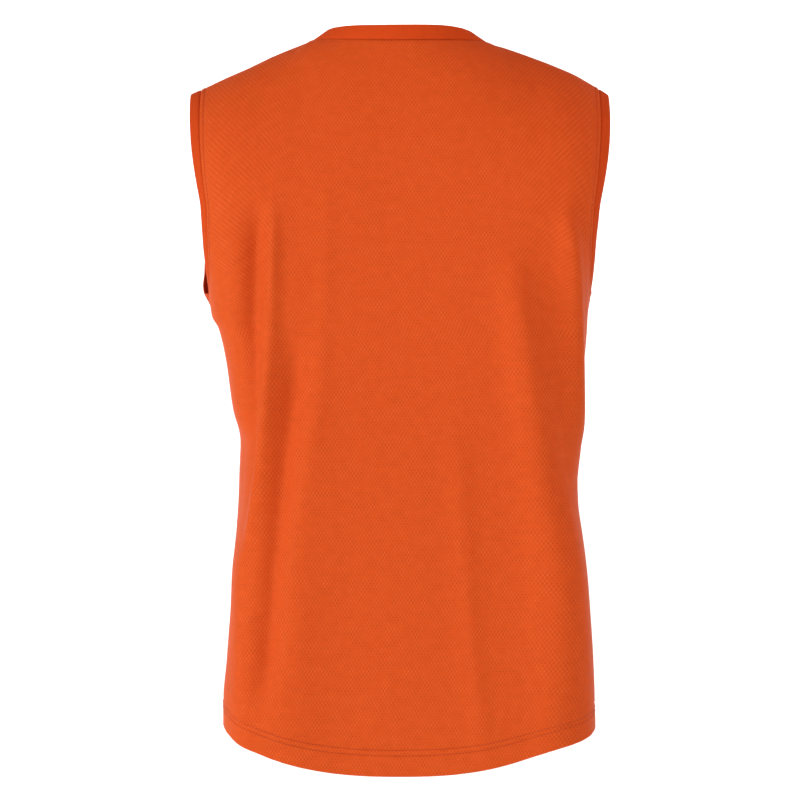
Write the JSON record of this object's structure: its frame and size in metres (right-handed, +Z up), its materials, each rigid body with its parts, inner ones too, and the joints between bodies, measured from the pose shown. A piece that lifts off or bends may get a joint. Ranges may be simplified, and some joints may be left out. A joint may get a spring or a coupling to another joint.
{
  "type": "muscle tank top",
  "caption": "Sleeveless crew-neck sports vest in orange mesh knit, filled out as worn with an empty inside, open at neck, armholes and hem.",
  "frame": {"origin": "on the garment's centre line, level with the high points of the two shoulders, where the wearer holds it up", "axes": "+Z up, +X towards the wearer's right side, +Y towards the front of the garment, so its back faces -Y"},
  "size_m": [0.4164, 0.2615, 0.7264],
  "materials": {
    "body_knit": "matte micro-mesh polyester knit",
    "band_knit": "matte doubled polyester jersey"
  },
  "bodies": {
    "root": {"back": "body_knit", "front": "body_knit", "neckband": "band_knit", "armhole_band_left": "band_knit", "armhole_band_right": "band_knit"}
  },
  "joints": []
}
